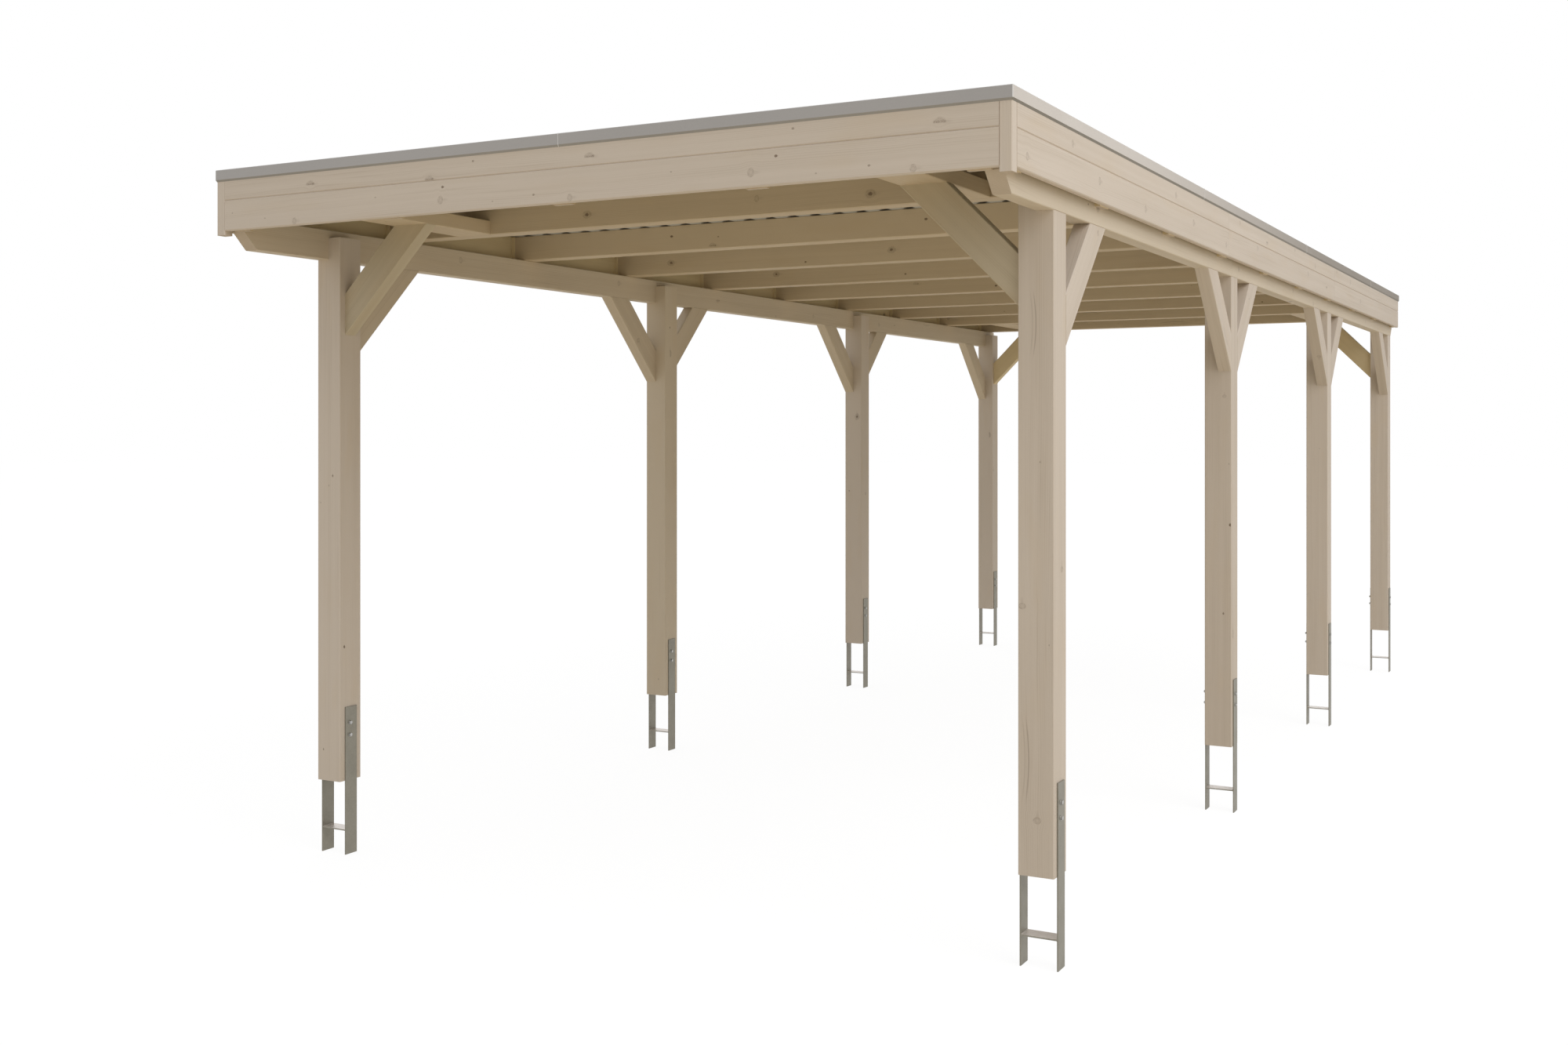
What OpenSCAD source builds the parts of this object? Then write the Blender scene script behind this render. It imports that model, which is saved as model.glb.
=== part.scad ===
// Timber carport with a flat sheet-metal roof on two rows of posts, standing on steel H anchors.
// Millimetres, +Z up, +Y from the front to the rear, origin under the middle of the roof.

/* [Frame] */
// Width over the outer faces of the two rows of posts
frame_w = 3132; // [2600:10:3800]
// Distance from one post to the next along a row
bay_l = 2445; // [1900:5:2900]
// Side of the square posts
post_w = 120; // [100:1:140]
// Length of a post from its foot to the shoulder that carries the beam
post_l = 2119; // [1900:1:2400]
// Height of the tongue that rises behind the beam
tongue_h = 88; // [60:1:100]
// Width of the bevel along the edges of the planed timbers
arris = 2.5; // [1:0.5:6]

/* [Anchors] */
// Length of the flat bars of an H anchor
anchor_l = 600; // [500:10:800]
// Length of bar that laps the post
anchor_lap = 300; // [200:10:350]
// Width of the flat bars
anchor_w = 65; // [50:1:80]
// Thickness of the flat bars and of the crossbar
anchor_t = 5; // [4:0.5:8]
// Height of the crossbar above the tips of the bars
crossbar_z = 97; // [60:1:140]

/* [Beams] */
// Height of the side beams
beam_h = 120; // [110:1:160]
// Thickness of the side beams, which is also the depth of the notch in the posts
beam_t = 60; // [50:1:70]
// Run of the sloping cut under each beam end
beam_cut = 65; // [30:1:90]
// Reach of the beams past the rear posts
beam_rear = 68; // [40:1:90]
// How far behind a post's front face the beam lengths meet
joint_in = 10; // [5:1:60]
// Open gap between lengths of timber that meet end to end
joint_gap = 1; // [0.5:0.1:2]

/* [Braces] */
// Width of the braces
brace_w = 120; // [90:1:140]
// Thickness of the braces
brace_t = 60; // [40:1:60]
// Distance from a corner of the frame to the lower edge of its brace, both ways
brace_reach = 427; // [350:1:520]
// Width of the flat blocks over the cross braces
block_w = 170; // [140:1:200]
// Thickness of those blocks
block_t = 57; // [40:1:70]

/* [Rafters] */
// Height of the rafters
rafter_h = 114; // [100:1:140]
// Thickness of the rafters
rafter_t = 88; // [60:1:100]
// Reach of the first rafter past the front posts
rafter_front = 447.5; // [350:0.5:550]
// Reach of the last rafter past the rear posts
rafter_rear = 33; // [20:1:60]

/* [Fascia] */
// Thickness of the fascia boards
board_t = 21; // [18:0.5:26]
// Height that one fascia board covers
board_h = 116; // [100:1:130]
// How far the fascia hangs below the top of the beams
fascia_drop = 54; // [30:1:80]
// Reach of the side boards past the rear posts
fascia_rear = 94; // [70:1:130]
// Width of the bevel along each edge of a board
board_bevel = 3.5; // [1:0.5:5]
// Length of the first side board, measured from the corner timber
first_board = 2665; // [2000:5:3200]
// Thickness of the tongue on a board's upper edge
board_tongue_t = 6; // [4:0.5:7]
// Height of that tongue
board_tongue_h = 7; // [5:0.5:10]
// Room round a tongue in its groove
tongue_gap = 0.5; // [0.3:0.1:1]
// Thickness of the battens behind the fascia
batten_t = 19.5; // [16:0.5:26]
// Width of those battens
batten_w = 76; // [50:1:84]
// How far a batten shows below the fascia
batten_drop = 3; // [0:0.5:10]
// Distance between the front battens, from the middle out
batten_pitch = 748; // [600:1:760]
// Distance from the side of the frame to the middle of the end battens of the front
batten_inset = 70; // [42:1:120]
// How far the corner timbers hang below the fascia
corner_drop = 16; // [5:1:40]

/* [Roof edge trim] */
// Height of the trim's flat outer face
trim_h = 38; // [30:1:60]
// How far that face stands out from the boards
trim_proud = 5; // [3:0.5:10]
// Height of the hem that slopes back to the boards
trim_hem = 7.5; // [4:0.5:12]
// Width of the trim's top, measured from its outer face
trim_w = 50; // [40:1:60]
// Height of the trim's inner edge
trim_inner = 20; // [8:1:24]
// Thickness of the trim
trim_t = 2; // [1.5:0.1:3]
// Width of the bevel along the outer top edge of the trim
trim_bevel = 2.5; // [1:0.5:4]
// Reach of the side trim past the rear end of the side boards
trim_rear = 14; // [5:1:30]
// Length of the first piece of side trim, measured from the corner
trim_first = 2258; // [1800:1:2800]
// Length of the pieces of side trim behind it
trim_piece = 2231; // [1800:1:2800]

/* [Roof sheets] */
// Distance from rib to rib
rib_pitch = 110; // [80:1:150]
// Height of the ribs
rib_h = 20; // [15:1:35]
// Width of a rib at its crest
rib_top = 32; // [20:1:40]
// Sideways run of a rib's flank
rib_flank = 14; // [8:1:16]
// Thickness of the sheet
sheet_t = 1; // [0.8:0.1:2]
// Room between the sheets and the battens
sheet_gap = 6; // [2:1:15]
// Reach of the sheets past the last rafter
sheet_rear = 71; // [40:1:75]

/* [Hidden] */
posts_per_side = 4;
rafter_count = 10;
lengths_per_side = 3;
sheet_count = 3;
left = -1;
right = 1;

// Heights, from the tips of the anchors up
foot_z = anchor_l - anchor_lap;
shoulder_z = foot_z + post_l;
beam_top = shoulder_z + beam_h;
rafter_top = beam_top + rafter_h;
fascia_z = beam_top - fascia_drop;
fascia_top = fascia_z + 2 * board_h;
hem_z = fascia_top + trim_t - trim_h - trim_hem;

// Widths, from the middle of the roof out
outer_x = frame_w / 2;
board_x = outer_x + batten_t;
fascia_x = board_x + board_t;
corner_w = batten_t + board_t;
sheet_x = outer_x - sheet_gap;

// Lengths, from the front face of the first posts back
frame_l = (posts_per_side - 1) * bay_l + post_w;
rafter_y0 = -rafter_front;
rafter_pitch = (rafter_front + frame_l + rafter_rear - rafter_t) / (rafter_count - 1);
fascia_y = rafter_y0 - corner_w;
fascia_end = frame_l + fascia_rear;
trim_front_y = fascia_y - trim_proud;
trim_end = fascia_end + trim_rear;
sheet_end = frame_l + rafter_rear + sheet_rear;
mid_y = (trim_front_y + trim_end) / 2;
board_l = (fascia_end - rafter_y0 - first_board) / (lengths_per_side - 1);

brace_cut = brace_w * sqrt(2);

// Front battens: one in the middle, these to each side of it and one at each end
end_batten_x = outer_x - batten_inset;
inner_battens = floor((end_batten_x - batten_w) / batten_pitch);

// Ribs on each sheet, the outermost ones shared with the next sheet
sheet_ribs = floor(2 * sheet_x / sheet_count / rib_pitch) + 1;
sheet_cover = (sheet_ribs - 1) * rib_pitch;

wood = "#cdbfab";
wood_shade = "#bfae95";
steel = "#8b877b";
zinc = "#9c9894";

function post_y(i) = (i - 1) * bay_l;
function rafter_y(i) = rafter_y0 + (i - 1) * rafter_pitch;

// Puts what is drawn from the first posts back at its place under the middle of the roof
module in_frame() { translate([0, -mid_y, 0]) children(); }

// Draws a left-hand piece from a right-hand one
module on_side(side) { if (side == left) mirror([1, 0, 0]) children(); else children(); }

// A block from its low corner and its three sides
module timber(at, size) { translate(at) cube(size); }

// An outline in Y and Z, from x for a depth
module slab_x(x, depth) { translate([x, 0, 0]) rotate([90, 0, 90]) linear_extrude(depth) children(); }

// An outline in X and Z, from y for a depth
module slab_y(y, depth) { translate([0, y + depth, 0]) rotate([90, 0, 0]) linear_extrude(depth) children(); }

// Section of a planed timber with its four edges bevelled
module planed_section(w, h) {
    polygon([
        [arris, 0],
        [w - arris, 0],
        [w, arris],
        [w, h - arris],
        [w - arris, h],
        [arris, h],
        [0, h - arris],
        [0, arris]
    ]);
}

// A post with its outer half cut down to carry the beam
module post(side, i) {
    color(wood) in_frame() on_side(side) intersection() {
        slab_y(post_y(i), post_w) polygon([
            [outer_x, foot_z],
            [outer_x, shoulder_z],
            [outer_x - beam_t, shoulder_z],
            [outer_x - beam_t, shoulder_z + tongue_h],
            [outer_x - post_w, shoulder_z + tongue_h],
            [outer_x - post_w, foot_z]
        ]);
        translate([outer_x - post_w, post_y(i), 0]) linear_extrude(beam_top) planed_section(post_w, post_w);
    }
}

// Two flat bars lapping the post, with a crossbar welded between them
module anchor(i) {
    y = post_y(i) + (post_w - anchor_w) / 2;
    inner_bar = outer_x - post_w - anchor_t;
    union() {
        timber([inner_bar, y, 0], [anchor_t, anchor_w, anchor_l]);
        timber([outer_x, y, 0], [anchor_t, anchor_w, anchor_l]);
        timber([inner_bar, y, crossbar_z], [post_w + 2 * anchor_t, anchor_w, anchor_t]);
    }
}

module anchors(side) {
    color(steel) in_frame() on_side(side) for (i = [1:posts_per_side]) anchor(i);
}

// A beam with its two ends cut back below, in lengths that meet on the posts
module beam(side) {
    front = rafter_y0;
    rear = frame_l + beam_rear;
    color(wood) in_frame() on_side(side) difference() {
        intersection() {
            slab_x(outer_x - beam_t, beam_t) polygon([
                [front + beam_cut, shoulder_z],
                [rear - beam_cut, shoulder_z],
                [rear, shoulder_z + beam_cut],
                [rear, beam_top],
                [front, beam_top],
                [front, shoulder_z + beam_cut]
            ]);
            translate([outer_x - beam_t, 0, shoulder_z])
                slab_y(front, rear - front) planed_section(beam_t, beam_h);
        }
        for (i = [2:posts_per_side - 1])
            timber([outer_x - 2 * beam_t, post_y(i) + joint_in, 0], [3 * beam_t, joint_gap, 2 * beam_top]);
    }
}

// A brace in a square corner, lying flat: from the corner along X and down along Y, bevelled along its slope
module brace() {
    intersection() {
        linear_extrude(brace_t) polygon([
            [0, -brace_reach],
            [brace_reach, 0],
            [brace_reach - brace_cut, 0],
            [0, brace_cut - brace_reach]
        ]);
        translate([0, -brace_reach, 0]) rotate([0, 0, 45]) rotate([90, 0, 90])
            linear_extrude(2 * brace_reach) planed_section(brace_w, brace_t);
    }
}

// Braces from the posts to the beam, towards each neighbouring post
module side_braces(side) {
    x = outer_x - (beam_t + brace_t) / 2;
    color(wood) in_frame() on_side(side) for (i = [1:posts_per_side]) {
        if (i > 1)
            translate([x, post_y(i), shoulder_z]) mirror([0, 1, 0]) rotate([90, 0, 90]) brace();
        if (i < posts_per_side)
            translate([x, post_y(i) + post_w, shoulder_z]) rotate([90, 0, 90]) brace();
    }
}

// Braces from the two posts of one end to the blocks under the roof
module cross_braces(i) {
    y = post_y(i) + (post_w + brace_t) / 2;
    color(wood) in_frame() for (side = [left, right]) on_side(side)
        translate([outer_x - post_w, y, beam_top]) mirror([1, 0, 0]) rotate([90, 0, 0]) brace();
}

// Flat blocks between two neighbouring rafters, over the cross braces
module blocks(first) {
    y = rafter_y(first) + rafter_t;
    x = outer_x - post_w - brace_reach + (brace_cut - block_w) / 2;
    color(wood_shade) in_frame() for (side = [left, right]) on_side(side)
        translate([x, 0, beam_top]) slab_y(y, rafter_pitch - rafter_t) planed_section(block_w, block_t);
}

module rafter(i) {
    color(wood_shade) in_frame() translate([0, rafter_y(i), beam_top])
        slab_x(-outer_x, 2 * outer_x) planed_section(rafter_t, rafter_h);
}

// Upright battens on the rafter ends, which hold the side boards off the beam
module side_battens(side) {
    z = fascia_z - batten_drop;
    color(wood_shade) in_frame() on_side(side) for (i = [1:rafter_count])
        timber([outer_x, rafter_y(i) + (rafter_t - batten_w) / 2, z], [batten_t, batten_w, rafter_top - z]);
}

// Upright battens between the first rafter and the front boards
module battens_front() {
    z = fascia_z - batten_drop;
    inner = [for (i = [-inner_battens:inner_battens]) i * batten_pitch];
    color(wood_shade) in_frame() for (x = concat([-end_batten_x], inner, [end_batten_x]))
        timber([x - batten_w / 2, rafter_y0 - batten_t, z], [batten_w, batten_t, rafter_top - z]);
}

// Section of a fascia board, thickness first: groove below, bevelled outer edges, tongue above if it has one
module board_section(tongue) {
    groove_t = board_tongue_t + 2 * tongue_gap;
    groove_h = board_tongue_h + tongue_gap;
    difference() {
        polygon([
            [0, 0],
            [board_t - board_bevel, 0],
            [board_t, board_bevel],
            [board_t, board_h - board_bevel],
            [board_t - board_bevel, board_h],
            [0, board_h]
        ]);
        translate([(board_t - groove_t) / 2, -groove_h]) square([groove_t, 2 * groove_h]);
    }
    if (tongue)
        translate([(board_t - board_tongue_t) / 2, board_h]) square([board_tongue_t, board_tongue_h]);
}

// A row of side boards, the lower row with a tongue for the upper one
module fascia_side(side, row) {
    color(wood) in_frame() on_side(side) difference() {
        translate([board_x, 0, fascia_z + row * board_h])
            slab_y(rafter_y0, fascia_end - rafter_y0) board_section(row == 0);
        for (i = [0:lengths_per_side - 2])
            timber([outer_x, rafter_y0 + first_board + i * board_l, 0], [2 * corner_w, joint_gap, 2 * fascia_top]);
    }
}

// A row of front boards between the corner timbers
module fascia_front(row) {
    color(wood) in_frame() translate([0, rafter_y0 - batten_t, fascia_z + row * board_h])
        slab_x(-outer_x, 2 * outer_x) mirror([1, 0]) board_section(row == 0);
}

module corner_timber(side) {
    z = fascia_z - corner_drop;
    color(wood) in_frame() on_side(side)
        translate([outer_x, fascia_y, z]) linear_extrude(fascia_top - z) planed_section(corner_w, corner_w);
}

// Section of the roof edge trim, outwards first, from the outer face of the boards and the lower end of the hem
module trim_section() {
    top = trim_h + trim_hem;
    inside = trim_proud - trim_w;
    face_back = trim_proud - trim_t;
    hem_wall = trim_t * norm([trim_proud, trim_hem]) / trim_proud;
    polygon([
        [0, 0],
        [trim_proud, trim_hem],
        [trim_proud, top - trim_bevel],
        [trim_proud - trim_bevel, top],
        [inside, top],
        [inside, top - trim_inner],
        [inside + trim_t, top - trim_inner],
        [inside + trim_t, top - trim_t],
        [face_back, top - trim_t],
        [face_back, hem_wall + face_back * trim_hem / trim_proud],
        [0, hem_wall]
    ]);
}

// All that lies in front of the mitre line of the right front corner
module mitre_cut() {
    reach = 2 * trim_end;
    translate([fascia_x + trim_proud, trim_front_y, 0]) rotate([0, 0, 135])
        translate([-reach, 0, 0]) cube([2 * reach, 2 * reach, 2 * fascia_top]);
}

// Side trim in pieces that meet end to end, mitred at the front corner
module trim_side(side) {
    length = trim_end - trim_front_y;
    color(zinc) in_frame() on_side(side) difference() {
        translate([fascia_x, 0, hem_z]) slab_y(trim_front_y, length) trim_section();
        mitre_cut();
        for (y = [trim_first:trim_piece:length])
            timber([outer_x - trim_w, trim_front_y + y, 0], [3 * trim_w, joint_gap, 2 * fascia_top]);
    }
}

// Front trim in two pieces, mitred at both corners
module trim_front() {
    half = fascia_x + trim_proud;
    color(zinc) in_frame() for (side = [left, right]) on_side(side) intersection() {
        translate([0, fascia_y, hem_z]) slab_x(joint_gap / 2, half - joint_gap / 2) mirror([1, 0]) trim_section();
        translate([-joint_gap, 0, 0]) mitre_cut();
    }
}

// Underside of a rib about x, its left flank and crest lifted where it laps another rib
function rib(x, lift) = [
    [x - rib_top / 2 - rib_flank, lift],
    [x - rib_top / 2, rib_h + lift],
    [x + rib_top / 2, rib_h + lift],
    [x + rib_top / 2 + rib_flank * (rib_h + lift) / rib_h, 0]
];

// Underside of a rib about x that ends halfway down its right flank, under the next sheet
function covered_rib(x) = [
    [x - rib_top / 2 - rib_flank, 0],
    [x - rib_top / 2, rib_h],
    [x + rib_top / 2, rib_h],
    [x + (rib_top + rib_flank) / 2, rib_h / 2]
];

// One sheet with ribs along the roof, lying on the rafters, its first rib over the last rib of the sheet before
module roof_sheet(i) {
    first_x = (i - 1 - sheet_count / 2) * sheet_cover;
    start = i == 1 ? concat([[-sheet_x, 0]], rib(first_x, 0)) : rib(first_x, sheet_t);
    ribs = [for (k = [1:sheet_ribs - 2]) each rib(first_x + k * rib_pitch, 0)];
    last_x = first_x + sheet_cover;
    end = i == sheet_count ? concat(rib(last_x, 0), [[sheet_x, 0]]) : covered_rib(last_x);
    under = concat(start, ribs, end);
    over = [for (k = [len(under) - 1:-1:0]) under[k] + [0, sheet_t]];
    color(zinc) in_frame() translate([0, 0, rafter_top])
        slab_y(rafter_y0, sheet_end - rafter_y0) polygon(concat(under, over));
}

post(left, 1);  // post_left_1
post(left, 2);  // post_left_2
post(left, 3);  // post_left_3
post(left, 4);  // post_left_4
post(right, 1);  // post_right_1
post(right, 2);  // post_right_2
post(right, 3);  // post_right_3
post(right, 4);  // post_right_4
anchors(left);  // anchors_left
anchors(right);  // anchors_right
beam(left);  // beam_left
beam(right);  // beam_right
side_braces(left);  // side_braces_left
side_braces(right);  // side_braces_right
cross_braces(1);  // cross_braces_front
cross_braces(posts_per_side);  // cross_braces_rear
blocks(1);  // blocks_front
blocks(rafter_count - 1);  // blocks_rear
rafter(1);  // rafter_1
rafter(2);  // rafter_2
rafter(3);  // rafter_3
rafter(4);  // rafter_4
rafter(5);  // rafter_5
rafter(6);  // rafter_6
rafter(7);  // rafter_7
rafter(8);  // rafter_8
rafter(9);  // rafter_9
rafter(10);  // rafter_10
side_battens(left);  // battens_left
side_battens(right);  // battens_right
battens_front();
fascia_side(left, 0);  // fascia_left_lower
fascia_side(left, 1);  // fascia_left_upper
fascia_side(right, 0);  // fascia_right_lower
fascia_side(right, 1);  // fascia_right_upper
fascia_front(0);  // fascia_front_lower
fascia_front(1);  // fascia_front_upper
corner_timber(left);  // corner_timber_left
corner_timber(right);  // corner_timber_right
trim_side(left);  // trim_left
trim_side(right);  // trim_right
trim_front();
roof_sheet(1);  // roof_sheet_1
roof_sheet(2);  // roof_sheet_2
roof_sheet(3);  // roof_sheet_3
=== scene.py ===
import math
import random
from functools import partialmethod
import bmesh
import bpy
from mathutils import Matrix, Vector


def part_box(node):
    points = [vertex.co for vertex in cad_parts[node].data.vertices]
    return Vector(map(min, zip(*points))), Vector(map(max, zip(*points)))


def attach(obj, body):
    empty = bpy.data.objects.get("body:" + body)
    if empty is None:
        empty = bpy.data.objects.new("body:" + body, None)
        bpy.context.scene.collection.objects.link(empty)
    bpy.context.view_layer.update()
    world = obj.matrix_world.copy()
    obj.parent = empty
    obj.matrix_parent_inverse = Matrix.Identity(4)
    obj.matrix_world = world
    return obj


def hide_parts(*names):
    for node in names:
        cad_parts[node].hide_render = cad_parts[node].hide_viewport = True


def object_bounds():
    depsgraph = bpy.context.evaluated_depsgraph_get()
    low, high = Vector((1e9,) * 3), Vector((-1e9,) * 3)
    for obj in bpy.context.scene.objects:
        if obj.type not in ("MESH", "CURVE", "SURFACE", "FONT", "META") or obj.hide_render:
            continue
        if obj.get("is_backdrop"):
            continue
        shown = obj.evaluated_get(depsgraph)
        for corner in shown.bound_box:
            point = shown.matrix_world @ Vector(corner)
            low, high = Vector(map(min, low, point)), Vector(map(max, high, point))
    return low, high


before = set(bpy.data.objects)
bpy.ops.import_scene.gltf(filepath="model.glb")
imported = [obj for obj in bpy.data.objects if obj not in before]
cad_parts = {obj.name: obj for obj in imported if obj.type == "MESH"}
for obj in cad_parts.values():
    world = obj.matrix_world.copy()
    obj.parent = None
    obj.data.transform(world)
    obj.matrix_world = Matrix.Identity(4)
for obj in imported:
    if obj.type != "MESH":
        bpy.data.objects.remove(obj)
cadLow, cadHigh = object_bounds()
print("frame loaded:", len(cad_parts), "nodes")


# Small helpers for node trees. A NodeValue is a socket that takes plain arithmetic.

class NodeValue:
    def __init__(self, tree, socket):
        self.tree = tree
        self.socket = socket

    def math(self, operation, *others):
        return calc(self.tree, operation, self, *others)

    __add__ = partialmethod(math, "ADD")
    __sub__ = partialmethod(math, "SUBTRACT")
    __mul__ = partialmethod(math, "MULTIPLY")
    __truediv__ = partialmethod(math, "DIVIDE")
    __lt__ = partialmethod(math, "LESS_THAN")
    __gt__ = partialmethod(math, "GREATER_THAN")
    __abs__ = partialmethod(math, "ABSOLUTE")

    def __rsub__(self, other):
        return calc(self.tree, "SUBTRACT", other, self)

    def step(self, low, high, toLow=0.0, toHigh=1.0):  # soft step from low to high
        inputs = {"Value": self, "From Min": low, "From Max": high, "To Min": toLow, "To Max": toHigh}
        return addNode(self.tree, "ShaderNodeMapRange", inputs, "Result", interpolation_type="SMOOTHSTEP")

    def fall(self, low, high):  # soft step down
        return self.step(low, high, 1.0, 0.0)


def feed(tree, socket, value):  # a link, or a plain value on the socket itself
    value = getattr(value, "socket", value)
    if isinstance(value, bpy.types.NodeSocket):
        tree.links.new(value, socket)
    else:
        socket.default_value = (*value, 1) if socket.type == "RGBA" else value


def addNode(tree, kind, inputs, output=0, **settings):  # a new node, seen by one of its outputs
    node = tree.nodes.new(kind)
    for name, setting in settings.items():
        setattr(node, name, setting)
    for name, value in inputs.items():
        feed(tree, node.inputs[name], value)
    return NodeValue(tree, node.outputs[output])


def calc(tree, operation, *values):
    return addNode(tree, "ShaderNodeMath", dict(enumerate(values)), operation=operation)


def tint(factor, first, second):
    return addNode(factor.tree, "ShaderNodeMix", {0: factor, 6: first, 7: second}, 2, data_type="RGBA")


def vectorOf(tree, x, y, z):
    return addNode(tree, "ShaderNodeCombineXYZ", {"X": x, "Y": y, "Z": z})


def partsOf(vector):
    node = addNode(vector.tree, "ShaderNodeSeparateXYZ", {0: vector}).socket.node
    return [NodeValue(vector.tree, output) for output in node.outputs]


def cloud(vector, scale=1.0, detail=2.0, rough=0.5):
    inputs = {"Vector": vector, "Scale": scale, "Detail": detail, "Roughness": rough}
    return addNode(vector.tree, "ShaderNodeTexNoise", inputs, "Fac")


def attributeOf(tree, name):
    return addNode(tree, "ShaderNodeAttribute", {}, "Vector", attribute_name=name)


def emptyTree(holder):
    holder.use_nodes = True
    holder.node_tree.nodes.clear()
    return holder.node_tree


def addOutput(tree, kind, surface):
    feed(tree, tree.nodes.new(kind).inputs["Surface"], surface)


def newMaterial(name):
    material = bpy.data.materials.new(name)
    tree = emptyTree(material)
    shader = tree.nodes.new("ShaderNodeBsdfPrincipled")
    addOutput(tree, "ShaderNodeOutputMaterial", shader.outputs["BSDF"])
    return material, tree, shader


def bumpFrom(shader, height, strength, distance):
    inputs = {"Strength": strength, "Distance": distance, "Height": height}
    feed(height.tree, shader.inputs["Normal"], addNode(height.tree, "ShaderNodeBump", inputs))


# Whitewashed spruce. Every timber carries three vectors on its face corners:
# grain = metres along, metres across, a number of its own; knot = place in knot radii and the radius;
# cut = end grain, bevelled edge, tone

spruceFrame = {
    "name": "spruce_frame", "pale": (0.655, 0.577, 0.500), "dark": (0.440, 0.362, 0.280),
    "blush": (0.60, 0.47, 0.31), "knot": (0.150, 0.098, 0.058), "endPale": (0.60, 0.51, 0.41),
    "endDark": (0.44, 0.355, 0.265), "ringGap": 0.0068, "endRingGap": 0.0046, "arches": 6.5, "lines": 0.28,
    "streaks": 0.34, "bands": 0.36, "fibres": 0.16, "blotches": 0.20, "tones": 0.22, "blushes": 0.16,
    "edges": 0.30, "roughness": 0.60, "gloss": 0.35, "bump": 0.35, "relief": 0.0004,
}
spruceRoof = dict(spruceFrame, name="spruce_roof", pale=(0.618, 0.506, 0.356), dark=(0.412, 0.316, 0.198),
                  blush=(0.56, 0.41, 0.23), lines=0.20, streaks=0.27)
# a yellower copy of the frame wood that stands in for the olive tint of shade: painted shade
spruceBeamShadeTint = dict(spruceFrame, name="spruce_beam", pale=(0.660, 0.572, 0.455), dark=(0.445, 0.360, 0.260))
# a darker copy of the roof wood for the front cross braces, which stand in the fascia's shade: painted shade
spruceBracePaintedShade = dict(spruceRoof, name="spruce_brace_painted_shade", pale=(0.562, 0.488, 0.363), dark=(0.375, 0.305, 0.202))
# a paler, yellower copy for inward faces, battens and rear cross braces: painted bounce light
spruceInnerPaintedBounce = dict(spruceRoof, name="spruce_inner_painted_bounce", pale=(0.765, 0.640, 0.415), dark=(0.540, 0.425, 0.245))
knotLimits = {"pin": 0.0065, "oval": 0.0150, "moon": 0.0175, "soft": 0.0003}  # largest radius of each kind


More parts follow.
